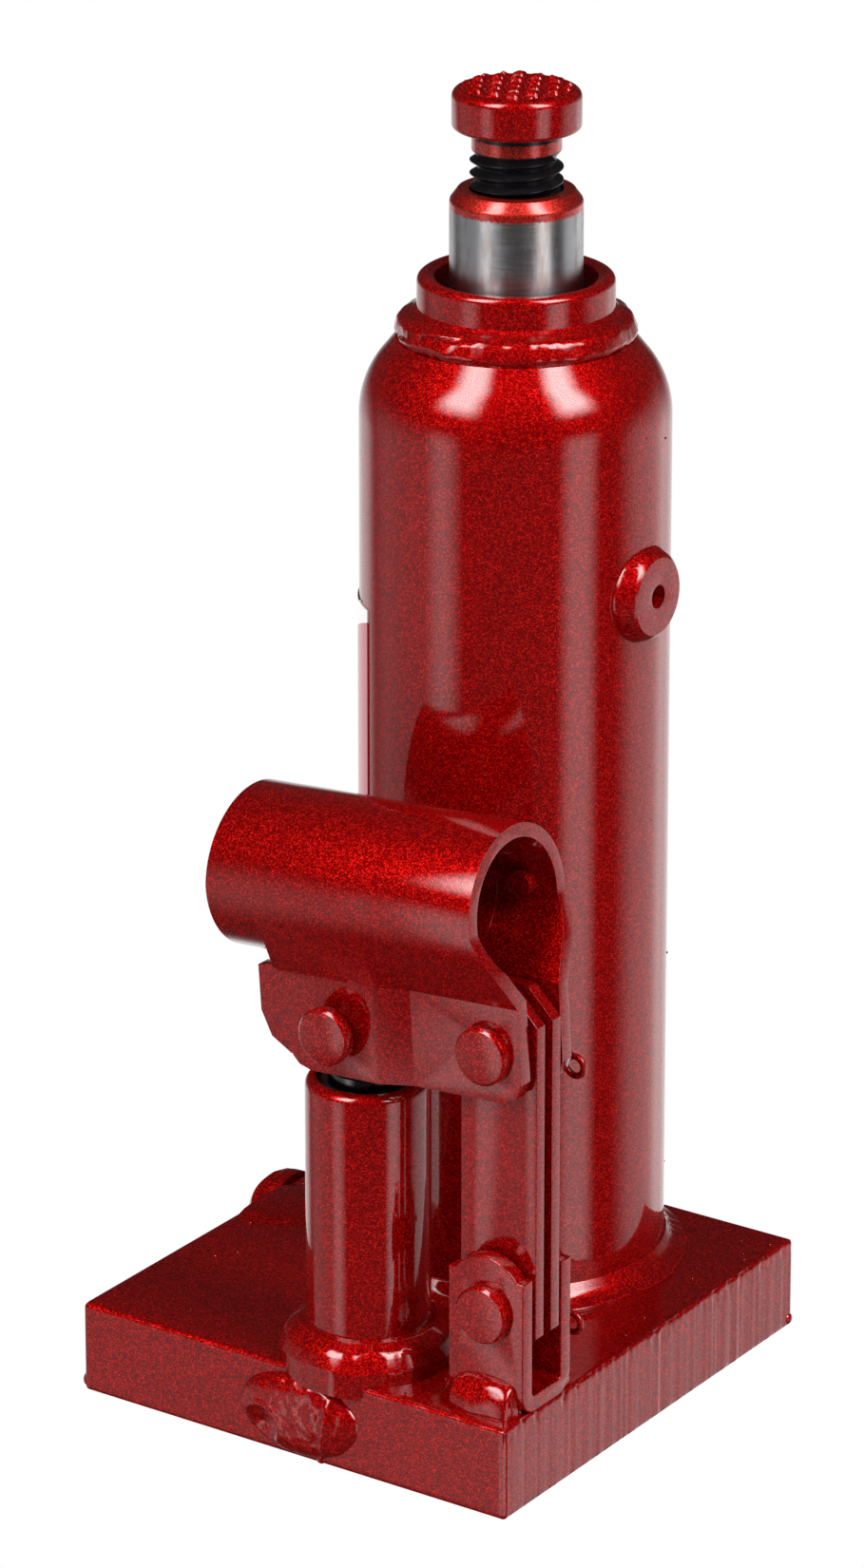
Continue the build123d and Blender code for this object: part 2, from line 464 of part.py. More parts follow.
def oil_filler_plug():
    """Moulded plug: a stem through the tube's wall, a tapered head on its outside and a pull hole."""
    rim, stem_radius, hole_radius = 0.6, 3.35, 1.8
    head = [(0, 15), (PLUG_RADIUS, 15), (PLUG_RADIUS, TUBE_RADIUS - 0.6), (PLUG_FACE_RADIUS + 0.4, PLUG_FACE - rim),
            (PLUG_FACE_RADIUS - rim / 2, PLUG_FACE), (0, PLUG_FACE)]
    plug = Pos(0, 0, PLUG_Z) * Rot(0, 90, 0) * turned(head)
    plug -= post(TUBE_RADIUS + 0.02, PLUG_Z - 20, PLUG_Z + 20)
    plug += bar_x(stem_radius, 18.6, PLUG_FACE - 1, 0, PLUG_Z)
    return plug - bar_x(hole_radius, PLUG_FACE - 4.5, PLUG_FACE + 1, 0, PLUG_Z)


def label():
    """Printed film on the side of the tube that faces -X."""
    skin = ring(TUBE_RADIUS + LABEL_SKIN, TUBE_RADIUS, LABEL_LOW, LABEL_HIGH)
    corner = 60.0
    start, end = radians(122), radians(235)
    middle = (start + end) / 2
    wedge = [(0, 0)]
    for angle in (start, (start + middle) / 2, middle, (middle + end) / 2, end):
        wedge.append((corner * cos(angle), corner * sin(angle)))
    return skin & extrude(Plane.XY * make_face(Polyline(*wedge, close=True)), 200)


def suction_strainer():
    cap = ring(2.4, 1.4, PLATE_TOP, PLATE_TOP + 3.0, SUCTION_X, SUCTION_WELL_Y)
    cap += post(2.4, PLATE_TOP + 3.0, PLATE_TOP + 3.6, SUCTION_X, SUCTION_WELL_Y)
    return cap + ring(1.15, 0.7, PLATE_TOP - 2, PLATE_TOP + 3.1, SUCTION_X, SUCTION_WELL_Y)


def seat_bush(x, low_y, high_y):
    """A drilled bush pressed into an oil channel."""
    return bar_y(CHANNEL_RADIUS, low_y, high_y, x, CHANNEL_Z) - bar_y(PASSAGE_RADIUS, low_y - 1, high_y + 1, x,
                                                                      CHANNEL_Z)


# ---------------------------------------------------------------- the whole jack

def nodes():
    suction_ball_y = -28.0 - seat_offset()
    delivery_seat_y = -24.0
    delivery_ball_y = delivery_seat_y + seat_offset()
    oring_y, oring_x = VALVE_Y, -32.3
    plunger_seal_low = PUMP_FOOT + 4.65
    piston_seal_low = PISTON_LOW + 1.85
    made = {
        "base_plate": base_plate(),
        "channel_weld_plug": channel_weld_plug(),
        "cylinder_gasket": ring(CYLINDER_RADIUS, CYLINDER_BORE, SEAT_FLOOR, CYLINDER_FOOT),
        "reservoir_tube": reservoir_tube(),
        "reservoir_weld": reservoir_weld(),
        "pressure_cylinder": pressure_cylinder(),
        "collar_weld": collar_weld(),
        "ram_guide_bush": ring(CYLINDER_BORE, RAM_RADIUS + RUNNING_GAP, BUSH_LOW, BUSH_HIGH),
        "ram_wiper_seal": ring(CYLINDER_BORE, RAM_RADIUS + RUNNING_GAP, BUSH_HIGH, WIPER_HIGH),
        "wiper_retaining_clip": retaining_clip(),
        "ram": ram(),
        "piston_head": piston_head(),
        "piston_seal": ring(PISTON_RADIUS, 9.4, piston_seal_low, piston_seal_low + 3.3),
        "screw_stop_ring": screw_stop_ring(),
        "extension_screw": extension_screw(),
        "pump_cylinder": pump_cylinder(),
        "pump_cylinder_weld": pump_cylinder_weld(),
        "pump_gasket": ring(PUMP_RADIUS, PUMP_BORE, PUMP_FOOT, PUMP_FOOT + 0.6, PUMP_X, LEVER_Y),
        "pump_gland_seal": ring(7.6, PUMP_BORE, PUMP_TOP - 3.6, PUMP_TOP - 1.0, PUMP_X, LEVER_Y),
        "pump_plunger": pump_plunger(),
        "plunger_seal": ring(PUMP_BORE - RUNNING_GAP, 4.7, plunger_seal_low, plunger_seal_low + 2.1, PUMP_X, LEVER_Y),
        "handle_socket": handle_socket(),
        "near_link": link_plate(-1),
        "far_link": link_plate(1),
        "link_bracket": link_bracket(),
        "bracket_weld": bracket_weld(),
        "release_valve_screw": release_valve_screw(),
        "release_valve_oring": Pos(oring_x, oring_y, VALVE_Z) * Rot(0, 90, 0) * Torus(3.45, 0.5),
        "release_valve_ball": ball(VALVE_SEAT_X - seat_offset(), VALVE_Y, VALVE_Z),
        "suction_ball": ball(SUCTION_X, suction_ball_y, CHANNEL_Z),
        "suction_spring": Pos(SUCTION_X, -37.6, CHANNEL_Z) * coil_spring(6.3, 1.5, 0.25, 4),
        "suction_spring_bush": seat_bush(SUCTION_X, -41.6, -38.0),
        "suction_strainer": suction_strainer(),
        "delivery_ball": ball(DELIVERY_X, delivery_ball_y, CHANNEL_Z),
        "delivery_spring": Pos(DELIVERY_X, -20.7, CHANNEL_Z) * coil_spring(8.2, 1.5, 0.25, 5),
        "delivery_seat_bush": seat_bush(DELIVERY_X, -29.0, delivery_seat_y),
        "oil_filler_plug": oil_filler_plug(),
        "label": label(),
    }
    for name, (near, far, x, z) in pins().items():
        made[name] = clevis_pin(near, far, x, z)
        made[name.replace("_pin", "_split_pin")] = split_pin(far, x, z)
    return made


os.makedirs("parts", exist_ok=True)
for name, shape in nodes().items():
    export_step(shape, f"parts/{name}.step")
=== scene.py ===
import bmesh
import bpy
import random
from math import atan2, cos, degrees, exp, floor, pi, radians, sin, sqrt, tan
from mathutils import Matrix, Vector, noise


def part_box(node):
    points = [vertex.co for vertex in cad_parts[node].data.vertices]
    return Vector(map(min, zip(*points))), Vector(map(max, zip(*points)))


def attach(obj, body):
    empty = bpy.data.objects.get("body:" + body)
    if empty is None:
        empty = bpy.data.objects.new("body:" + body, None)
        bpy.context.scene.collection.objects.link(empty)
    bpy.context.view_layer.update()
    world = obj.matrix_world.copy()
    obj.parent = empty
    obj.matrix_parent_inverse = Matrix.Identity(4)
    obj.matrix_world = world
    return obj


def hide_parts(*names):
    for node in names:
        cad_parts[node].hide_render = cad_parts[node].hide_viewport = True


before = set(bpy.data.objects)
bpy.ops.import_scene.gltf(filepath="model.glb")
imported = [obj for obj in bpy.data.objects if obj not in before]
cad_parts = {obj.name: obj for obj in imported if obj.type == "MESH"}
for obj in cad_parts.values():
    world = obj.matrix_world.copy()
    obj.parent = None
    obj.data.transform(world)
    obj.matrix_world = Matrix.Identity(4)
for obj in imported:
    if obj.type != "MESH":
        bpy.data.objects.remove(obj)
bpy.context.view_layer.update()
MM = 0.001


# ------------------------------------------------------------------------------------------ camera
# A view camera 0.9 m away, to the right of the front and above the jack. It looks at the ram's axis
# near the collar, and its lens is shifted down to bring the base into the frame.

camera_data = bpy.data.cameras.new("camera")
camera_data.lens = 141.4
camera_data.sensor_width = 36.0
camera_data.shift_x = -0.0535
camera_data.shift_y = -0.3381
camera_data.clip_start = 0.05
camera = bpy.data.objects.new("camera", camera_data)
camera_place = Vector((489.6, -733.0, 418.1)) * MM
camera_aim = Vector((-0.2, 0.2, 173.8)) * MM
camera_roll = radians(0.236)
look = (camera_aim - camera_place).to_track_quat("-Z", "Y")
upright = Matrix.Translation(camera_place) @ look.to_matrix().to_4x4()
camera.matrix_world = upright @ Matrix.Rotation(camera_roll, 4, "Z")
bpy.context.scene.collection.objects.link(camera)
bpy.context.scene.camera = camera
bpy.context.scene.view_settings.view_transform = "Standard"


# ---------------------------------------------------------------------------------- studio surroundings
# A flat white paper floor with two big softboxes either side of the camera. Their glow is drawn into the air
# around the jack as soft-edged windows, and their pools on the paper are dimmer windows below the horizon.

def linear(code):
    """An sRGB hex colour as linear red, green, blue and alpha."""
    parts = [int(code[i:i + 2], 16) / 255 for i in (1, 3, 5)]
    return tuple(c / 12.92 if c <= 0.04045 else ((c + 0.055) / 1.055) ** 2.4 for c in parts) + (1.0,)


def add_node(tree, kind, settings=None, links=None, **fields):
    """Adds a node: fields set its own properties, settings its inputs, links join inputs to other outputs."""
    made = tree.nodes.new(kind)
    for field, value in fields.items():
        setattr(made, field, value)
    for socket, value in (settings or {}).items():
        made.inputs[socket].default_value = value
    for socket, source in (links or {}).items():
        tree.links.new(source, made.inputs[socket])
    return made


def new_material(name):
    """An empty material and its tree and output node."""
    material = bpy.data.materials.new(name)
    material.use_nodes = True
    tree = material.node_tree
    tree.nodes.clear()
    return material, tree, tree.nodes.new("ShaderNodeOutputMaterial")


world = bpy.data.worlds.new("studio")
world.use_nodes = True
bpy.context.scene.world = world
air = world.node_tree
air.nodes.clear()


def air_math(operation, first, second=0.0):
    """One Math node in the studio's air: each input is a number or another node's output."""
    made = add_node(air, "ShaderNodeMath", operation=operation)
    for socket, value in enumerate((first, second)):
        if isinstance(value, (int, float)):
            made.inputs[socket].default_value = value
        else:
            air.links.new(value, made.inputs[socket])
    return made.outputs[0]


def window(angle, middle, half, soft):
    """One inside the window and nought outside it, with a soft edge. All in degrees."""
    away = air_math("ABSOLUTE", air_math("SUBTRACT", angle, radians(middle)))
    outer, inner = radians(half + soft), radians(max(0, half - soft))
    edge = add_node(air, "ShaderNodeMapRange", {"From Min": outer, "From Max": inner}, {"Value": away},
                    interpolation_type="SMOOTHSTEP")
    return edge.outputs[0]


CAMERA_BEARING = atan2(camera_place.y, camera_place.x)
direction = add_node(air, "ShaderNodeTexCoord")
faced = add_node(air, "ShaderNodeVectorRotate", {"Angle": -CAMERA_BEARING},
                 {"Vector": direction.outputs["Generated"]}, rotation_type="Z_AXIS")
toward = add_node(air, "ShaderNodeSeparateXYZ", links={0: faced.outputs[0]})
turn = air_math("ARCTAN2", toward.outputs["Y"], toward.outputs["X"])
lift = air_math("ARCSINE", toward.outputs["Z"])
AMBIENT = 0.03
glow = AMBIENT
# Each row is one window: its middle and half width sideways from the camera's bearing, its middle and half
# height above the horizon and the softness of its edge, all in degrees, and its strength.
for turn_middle, turn_half, lift_middle, lift_half, soft, strength in (
        (-49, 15, 47, 18, 9, 14.0),
        (51, 14, 47, 18, 9, 15.0),
        (-54, 9, -17, 17, 8, 1.3),
        (-84, 34, -20, 18, 14, 0.45),
        (48, 11, -17, 18, 7, 2.0),
        (114, 24, -20, 18, 12, 0.9),
        (0, 40, -40, 25, 18, 0.08),
        (180, 48, -24, 15, 9, 1.0),
        (-180, 48, -24, 15, 9, 1.0)):
    sideways = window(turn, turn_middle, turn_half, soft)
    upward = window(lift, lift_middle, lift_half, soft)
    box = air_math("MULTIPLY", sideways, upward)
    glow = air_math("ADD", air_math("MULTIPLY", box, strength), glow)
room = add_node(air, "ShaderNodeBackground", {"Color": linear("#ffffff")}, {"Strength": glow})
white = add_node(air, "ShaderNodeBackground", {"Color": linear("#ffffff"), "Strength": 1.0})
ray = add_node(air, "ShaderNodeLightPath")
seen = add_node(air, "ShaderNodeMixShader", links={0: ray.outputs["Is Camera Ray"], 1: room.outputs[0],
                                                   2: white.outputs[0]})
add_node(air, "ShaderNodeOutputWorld", links={"Surface": seen.outputs[0]})

PAPER_HALF = 6.0
paper_mesh = bmesh.new()
bmesh.ops.create_grid(paper_mesh, x_segments=1, y_segments=1, size=PAPER_HALF)
paper_data = bpy.data.meshes.new("paper_floor")
paper_mesh.to_mesh(paper_data)
paper = bpy.data.objects.new("paper_floor", paper_data)
bpy.context.scene.collection.objects.link(paper)
paper_material, paper_tree, paper_out = new_material("matt_white_paper")
paper_shade = add_node(paper_tree, "ShaderNodeBsdfDiffuse", {"Color": linear("#f6f6f5")})
paper_tree.links.new(paper_shade.outputs[0], paper_out.inputs["Surface"])
paper_data.materials.append(paper_material)
paper.visible_camera = False
paper.visible_glossy = False
paper.visible_shadow = False


# --------------------------------------------------------------------------- base plate and the red paint
# Sawn and rolled mild steel, 15 mm thick, that carries everything else. It is sprayed after welding with a
# candy red metallic lacquer: aluminium flakes under a clear red coat, laid on thick enough to bead at edges.

FLAKE = 0.17      # mm, drawn a little over the size of a real flake so that it shows
FLAKE_TILT = 0.2  # how far a flake leans, as a share of its unit normal
PEEL = 1.6        # mm, the pitch of the orange peel in the clear coat


def candy_red(name, dark="#6c0002", bright="#d2180f"):
    """Metallic red lacquer. The flakes tilt this way and that and glint, and the clear coat is glossy."""
    material, tree, out = new_material(name)
    place = add_node(tree, "ShaderNodeTexCoord").outputs["Object"]
    flakes = add_node(tree, "ShaderNodeTexVoronoi", {"Scale": 1 / (FLAKE * MM)}, {"Vector": place})
    shade = add_node(tree, "ShaderNodeSeparateColor", links={0: flakes.outputs["Color"]})
    glint = add_node(tree, "ShaderNodeValToRGB", links={"Fac": shade.outputs["Red"]})
    glint.color_ramp.elements[0].color = linear(dark)
    glint.color_ramp.elements[0].position = 0.25
    glint.color_ramp.elements[1].color = linear(bright)
    glint.color_ramp.elements[1].position = 1.0
    middle = glint.color_ramp.elements.new(0.72)
    middle.color = linear("#980102")
    centred = add_node(tree, "ShaderNodeVectorMath", {1: (0.5, 0.5, 0.5)}, {0: flakes.outputs["Color"]},
                       operation="SUBTRACT")
    tilt = add_node(tree, "ShaderNodeVectorMath", {"Scale": FLAKE_TILT}, {0: centred.outputs[0]},
                    operation="SCALE")
    peel = add_node(tree, "ShaderNodeTexNoise", {"Scale": 1 / (PEEL * MM), "Detail": 2.0},
                    {"Vector": place})
    skin = add_node(tree, "ShaderNodeBump", {"Strength": 0.35, "Distance": 0.02 * MM},
                    {"Height": peel.outputs[0]})
    tilted = add_node(tree, "ShaderNodeVectorMath", None, {0: skin.outputs[0], 1: tilt.outputs[0]},
                      operation="ADD")
    facing = add_node(tree, "ShaderNodeVectorMath", None, {0: tilted.outputs[0]}, operation="NORMALIZE")
    coat = add_node(tree, "ShaderNodeBsdfPrincipled",
                    {"Metallic": 0.6, "Roughness": 0.5, "Specular IOR Level": 0.0, "Coat Weight": 1.0,
                     "Coat Roughness": 0.07, "Coat IOR": 1.5},
                    {"Base Color": glint.outputs[0], "Normal": facing.outputs[0],
                     "Coat Normal": skin.outputs[0]})
    tree.links.new(coat.outputs[0], out.inputs["Surface"])
    return material


red_paint = candy_red("candy_red_lacquer")


def add_piece(shape, name, material, body, *nodes, slot="metallic_red_paint", smooth=30):
    """Makes a bmesh, in millimetres, a finished piece that rides on a body and stands for CAD nodes."""
    bmesh.ops.transform(shape, matrix=Matrix.Scale(MM, 4), verts=shape.verts)
    data = bpy.data.meshes.new(name)
    shape.to_mesh(data)
    shape.free()
    for polygon in data.polygons:
        polygon.use_smooth = True
    data.set_sharp_from_angle(angle=radians(smooth))
    for one in material if isinstance(material, (list, tuple)) else (material,):
        data.materials.append(one)
    piece = bpy.data.objects.new(name, data)
    bpy.context.scene.collection.objects.link(piece)
    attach(piece, body)
    if nodes:
        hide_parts(*nodes)
    return piece


def node_box(node):
    """A CAD node's lowest and highest corners, in millimetres."""
    low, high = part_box(node)
    return low / MM, high / MM


def rough(x, y, z, pitch):
    """Smooth seeded noise between about -1 and 1, with features of the given pitch in millimetres."""
    return noise.noise(Vector((x, y, z)) / pitch)


tube_low, tube_high = node_box("reservoir_tube")
plate_low, plate_high = node_box("base_plate")
PLATE_TOP = tube_low.z
plate = bmesh.new()
bmesh.ops.create_cube(plate, size=1.0)
plate_size = Vector((plate_high.x - plate_low.x, plate_high.y - plate_low.y, PLATE_TOP))
bmesh.ops.scale(plate, vec=plate_size, verts=plate.verts)
plate_middle = ((plate_low.x + plate_high.x) / 2, (plate_low.y + plate_high.y) / 2, PLATE_TOP / 2)
bmesh.ops.translate(plate, vec=plate_middle, verts=plate.verts)
bmesh.ops.bevel(plate, geom=plate.edges, affect="EDGES", offset=0.75, segments=4, profile=0.5, material=-1)
SAW_PITCH = 0.42
for axis, low, high, pitch in ((0, plate_low.x, plate_high.x, 1.3),
                               (1, plate_low.y, plate_high.y, SAW_PITCH),
                               (2, 0.0, PLATE_TOP, 1.2)):
    count = int((high - low) / pitch)
    for i in range(1, count):
        middle = Vector((0, 0, 0))
        middle[axis] = low + (high - low) * i / count
        across = Vector((0, 0, 0))
        across[axis] = 1.0
        everything = plate.verts[:] + plate.edges[:] + plate.faces[:]
        bmesh.ops.bisect_plane(plate, geom=everything, plane_co=middle, plane_no=across)
# the blister over the release valve, which stands at the plate's left edge
dome_x, dome_y, dome_radius, dome_height = -38.0, -9.0, 7.8, 1.0
for v in plate.verts:
    x, y, z = v.co
    if x > plate_high.x - 0.4:
        saw = rough(y, 0, 3.1, 0.55) * 0.7 + rough(y, z * 0.08, 9.2, 1.7) * 0.5
        v.co.x -= 0.10 + 0.12 * saw
        if z > PLATE_TOP - 1.5:
            v.co.x -= max(0.0, rough(y, z, 5.0, 0.9)) * 0.35
            v.co.z -= max(0.0, rough(y, 1.0, 7.0, 0.7)) * 0.22
    if y < plate_low.y + 0.9 and z > PLATE_TOP - 1.0:
        v.co.z += 0.16 * max(0.0, rough(x, 0, 1.3, 0.9)) - 0.1
        v.co.y -= 0.08 * rough(x, 2.0, 4.0, 1.1)
    if z > PLATE_TOP - 0.05:
        away = sqrt((x - dome_x) ** 2 + (y - dome_y) ** 2) / dome_radius
        if away < 1:
            edge = min(1.0, (1 - away) * 5)
            v.co.z += dome_height * (0.35 * edge + 0.65 * (1 - away ** 2))
        v.co.z += 0.03 * rough(x, y, 2.0, 9.0)
SPECKS = 46
random.seed(5)
for i in range(SPECKS):
    x = random.uniform(plate_low.x + 2, plate_high.x - 1)
    y = random.uniform(plate_low.y + 1, plate_high.y - 1)
    size = random.uniform(0.16, 0.34)
    spot = Matrix.Translation((x, y, PLATE_TOP))
    bmesh.ops.create_icosphere(plate, subdivisions=2, radius=size, matrix=spot)
# drips of lacquer at the bottom corners and at the middle of the front edge
for x, y, z, size in ((plate_low.x + 0.5, plate_low.y + 1.4, 1.4, 1.35),
                      (plate_low.x + 0.9, plate_low.y + 0.8, 2.6, 0.8),
                      (plate_high.x - 0.8, plate_high.y - 0.9, 1.2, 1.1),
                      (2.6, plate_low.y + 0.2, 0.9, 0.8)):
    bmesh.ops.create_icosphere(plate, subdivisions=3, radius=size, matrix=Matrix.Translation((x, y, z)))
add_piece(plate, "painted_base_plate", red_paint, "jack_body", "base_plate", smooth=38)


# ------------------------------------------------------------------------- weld over the oil channels
# One fat run of weld metal that closes the two drilled channels in the front edge of the base. It froze
# in two overlapping puddles, with a ridge between them and a crater where the arc was broken.

plug_low, plug_high = node_box("channel_weld_plug")
plug_centre = Vector(((plug_low.x + plug_high.x) / 2, plate_low.y, (plug_low.z + plug_high.z) / 2))
plug_half = Vector(((plug_high.x - plug_low.x) / 2, plate_low.y - plug_low.y,
                    (plug_high.z - plug_low.z) / 2))
puddle = bmesh.new()
bmesh.ops.create_grid(puddle, x_segments=70, y_segments=56, size=1.0)
for v in puddle.verts:
    a, b = v.co.x, v.co.y
    u, w = a * sqrt(1 - b * b / 2), b * sqrt(1 - a * a / 2)
    away = sqrt(u * u + w * w)
    x = plug_centre.x + plug_half.x * u * (1 + 0.05 * rough(u, w, 1.5, 0.6))
    z = plug_centre.z + plug_half.z * w * (1 + 0.05 * rough(w, u, 6.5, 0.6))
    swell = max(0.0, 1 - away ** 2.6) ** 0.55 * 0.72
    ridge = 0.30 * exp(-((x - 4.6 - 0.12 * (z - 7)) / 0.75) ** 2) * max(0.0, 1 - away ** 3)
    crater = 0.42 * exp(-(((x + 7.2) / 2.3) ** 2 + ((z - 4.6) / 2.1) ** 2))
    lip = 0.16 * exp(-((sqrt(((x + 7.2) / 1.3) ** 2 + ((z - 4.6) / 1.2) ** 2) - 2.6) / 0.5) ** 2) * swell
    ripple = 0.05 * rough(x, z, 2.2, 1.7) + 0.03 * rough(x, z, 8.2, 0.8)
    height_out = max(0.0, swell + ridge - crater + lip + ripple * min(1.0, swell * 3))
    v.co = Vector((x, plug_centre.y + 0.15 - plug_half.y * height_out, max(0.25, z)))
rim = [e for e in puddle.edges if e.is_boundary]
pushed = bmesh.ops.extrude_edge_only(puddle, edges=rim)
back_verts = [g for g in pushed["geom"] if isinstance(g, bmesh.types.BMVert)]
bmesh.ops.translate(puddle, vec=(0, 0.8, 0), verts=back_verts)
bmesh.ops.holes_fill(puddle, edges=[e for e in puddle.edges if e.is_boundary])
bmesh.ops.recalc_face_normals(puddle, faces=puddle.faces)
add_piece(puddle, "channel_weld", red_paint, "jack_body", "channel_weld_plug", smooth=60)


# ---------------------------------------------------------------------------------- reservoir tube
# Drawn steel tube whose top is spun inward to a cone and a narrow neck. It holds the oil around the
# pressure cylinder. The lacquer lies smooth on it, with a few specks of dust under the coat.

def soft_outline(points, parts=6):
    """Points with a third value, a corner radius, rounded off by arcs. The line is open."""
    made = [Vector(points[0][:2])]
    for before, here, after in zip(points, points[1:], points[2:]):
        corner, radius = Vector(here[:2]), here[2] if len(here) > 2 else 0
        if not radius:
            made.append(corner)
            continue
        to_before = (Vector(before[:2]) - corner).normalized()
        to_after = (Vector(after[:2]) - corner).normalized()
        half = to_before.angle(to_after) / 2
        reach = radius / tan(half)
        middle = corner + (to_before + to_after).normalized() * radius / sin(half)
        first = corner + to_before * reach - middle
        turn = (corner + to_after * reach - middle).angle_signed(first)
        for i in range(parts + 1):
            made.append(middle + Matrix.Rotation(turn * i / parts, 2) @ first)
    made.append(Vector(points[-1][:2]))
    return made


def turned(points, centre=(0, 0), steps=160, closed=True):
    """Spins an outline of radius and height about an upright axis into one closed skin."""
    shape = bmesh.new()
    rings = [shape.verts.new((centre[0] + p[0], centre[1], p[1])) for p in points]
    pairs = list(zip(rings, rings[1:])) + ([(rings[-1], rings[0])] if closed else [])
    lines = [shape.edges.new(pair) for pair in pairs]
    bmesh.ops.spin(shape, geom=rings + lines, cent=(centre[0], centre[1], 0), axis=(0, 0, 1), angle=2 * pi,
                   steps=steps, use_merge=True)
    bmesh.ops.remove_doubles(shape, verts=shape.verts, dist=0.0005)
    bmesh.ops.recalc_face_normals(shape, faces=shape.faces)
    return shape


TUBE_RADIUS = tube_high.x
TUBE_TOP = tube_high.z
cylinder_low, cylinder_high = node_box("pressure_cylinder")
NECK = cylinder_high.x
TUBE_BANDS = (60, 110)      # mm, heights that divide the long wall
tube = turned(soft_outline([
    (TUBE_RADIUS, PLATE_TOP + 0.02), (TUBE_RADIUS, TUBE_BANDS[0]), (TUBE_RADIUS, TUBE_BANDS[1]),
    (TUBE_RADIUS, TUBE_TOP - 6.76, 14.6),
    (TUBE_RADIUS - 5.5, TUBE_TOP - 0.01), (NECK + 0.05, TUBE_TOP - 0.01), (NECK + 0.05, TUBE_TOP - 3.0),
    (TUBE_RADIUS - 2.5, TUBE_TOP - 9.5, 10), (TUBE_RADIUS - 2.5, PLATE_TOP + 0.02)], parts=14), steps=220)
for v in tube.verts:
    v.co.xy *= 1 + 0.0009 * rough(v.co.x, v.co.y, v.co.z, 24)
random.seed(11)
for i in range(26):
    bearing, z = random.uniform(0, 2 * pi), random.uniform(20, 150)
    spot = Matrix.Translation((TUBE_RADIUS * cos(bearing), TUBE_RADIUS * sin(bearing), z))
    bmesh.ops.create_icosphere(tube, subdivisions=2, radius=random.uniform(0.1, 0.2), matrix=spot)
add_piece(tube, "painted_reservoir_tube", red_paint, "jack_body", "reservoir_tube", smooth=30)


# --------------------------------------------------------------------- welds round the tube and collar
# Fillet welds laid by hand in one run each. The bead is ripply, and where its end rides over its start
# there is a step: behind the right side at the base, and at the front left under the collar.

def wrap(angle):
    """An angle brought between minus and plus half a turn."""
    return (angle + pi) % (2 * pi) - pi


foot_high = node_box("reservoir_weld")[1]
TOE = foot_high.x
foot_weld = turned(soft_outline([
    (TUBE_RADIUS - 0.3, PLATE_TOP - 0.2), (TOE - 0.15, PLATE_TOP - 0.2), (TOE - 0.1, PLATE_TOP + 0.5, 0.25),
    (TUBE_RADIUS + 1.5, PLATE_TOP + 1.5, 3.0), (TUBE_RADIUS + 0.35, foot_high.z, 0.3),
    (TUBE_RADIUS - 0.3, foot_high.z)], parts=7), steps=320)
for v in foot_weld.verts:
    bearing = atan2(v.co.y, v.co.x)
    out = (sqrt(v.co.x ** 2 + v.co.y ** 2) - TUBE_RADIUS) / (TOE - TUBE_RADIUS)
    if out > 0.02:
        sway = 0.10 * rough(cos(bearing) * 9, sin(bearing) * 9, 1.0, 1.6) - 0.07
        step = sum(exp(-(wrap(bearing - radians(at)) / 0.016) ** 2) for at in (36, 41, 46)) * 0.16
        v.co.xy *= 1 + (sway + step * 0.5) * out * (TOE - TUBE_RADIUS) / TOE
        v.co.z += step * 2.2 * out * (1 - out * 0.6)
add_piece(foot_weld, "foot_weld", red_paint, "jack_body", "reservoir_weld", smooth=60)

bead_low, bead_high = node_box("collar_weld")
neck_weld = turned(soft_outline([
    (NECK - 0.2, bead_low.z - 0.6), (TUBE_RADIUS - 5.9, bead_low.z - 0.6),
    (bead_high.x + 0.1, bead_low.z + 1.0, 0.8), (17.7, bead_high.z - 1.7, 1.6),
    (NECK + 0.7, bead_high.z - 0.8, 1.2), (NECK - 0.2, bead_high.z)], parts=7), steps=320)
for v in neck_weld.verts:
    bearing = atan2(v.co.y, v.co.x)
    out = min(1.0, max(0.0, (sqrt(v.co.x ** 2 + v.co.y ** 2) - NECK) / 2.2))
    lap = wrap(bearing - radians(-112)) / radians(30)
    swell = exp(-lap ** 4) if abs(lap) < 3 else 0.0
    groove_z = bead_low.z + 2.0 + 1.5 * lap
    groove = exp(-((v.co.z - groove_z) / 0.38) ** 2) * swell
    ripple = 0.32 * rough(cos(bearing) * 7, sin(bearing) * 7, v.co.z * 0.35, 1.5)
    ripple += 0.12 * rough(cos(bearing) * 15, sin(bearing) * 15, v.co.z, 1.1)
    v.co.xy *= 1 + (ripple + 0.25 * swell - 0.75 * groove - 0.18) * out / bead_high.x
    v.co.z += (0.3 * rough(cos(bearing) * 7, sin(bearing) * 7, 4.0, 1.9) + 0.25 * swell) * out
add_piece(neck_weld, "collar_bead", red_paint, "jack_body", "collar_weld", smooth=60)


# ------------------------------------------------------------- pressure cylinder and what seals its top
# Honed thick-walled tube, whose rim stands out above the reservoir as a collar. Inside it are the guide
# bush, the wiper and the clip that holds them, with a shadowed recess round the ram.

RIM, BORE = cylinder_high.z, 12.2
collar = turned(soft_outline([
    (BORE, cylinder_low.z), (NECK, cylinder_low.z), (NECK, RIM, 1.15), (13.4, RIM, 0.5),
    (BORE, RIM - 0.4, 0.3), (BORE, RIM - 2.4), (BORE, cylinder_low.z)], parts=6)[:-1], steps=160)
for v in collar.verts:
    if v.co.z > RIM - 3.4:
        bearing = atan2(v.co.y, v.co.x)
        v.co.z += 0.07 * rough(cos(bearing) * 10, sin(bearing) * 10, 2.0, 4.0) - 0.07
        v.co.xy *= 1 + 0.002 * rough(v.co.x, v.co.y, v.co.z, 4.0)
add_piece(collar, "painted_collar", red_paint, "jack_body", "pressure_cylinder", smooth=40)


